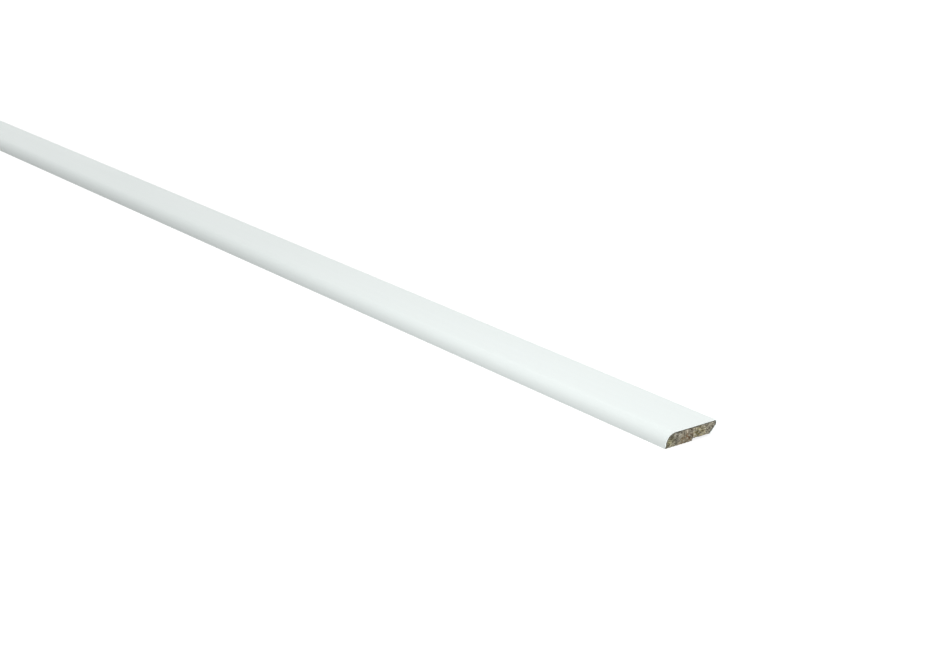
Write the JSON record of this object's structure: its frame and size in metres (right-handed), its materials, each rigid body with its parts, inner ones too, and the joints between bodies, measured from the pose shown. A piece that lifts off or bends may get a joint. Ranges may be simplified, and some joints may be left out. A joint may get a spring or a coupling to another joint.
{
  "type": "skirting board",
  "caption": "Flat white foil-wrapped skirting strip with a rounded upper edge, an undercut toe and a shallow glue rebate in its back, sawn square at both ends.",
  "frame": {"origin": "on the back's glue land, at the middle of the strip's length and width", "axes": "+X along the strip, -Y towards the rounded upper edge, +Y towards the toe that meets the floor, +Z out of the decor face"},
  "size_m": [2.4, 0.022, 0.005],
  "materials": {
    "mdf": "raw sawn and milled fibreboard",
    "white_foil": "smooth satin white decor foil"
  },
  "bodies": {
    "root": {"mdf_core": "mdf", "foil_wrap": "white_foil"}
  },
  "joints": []
}
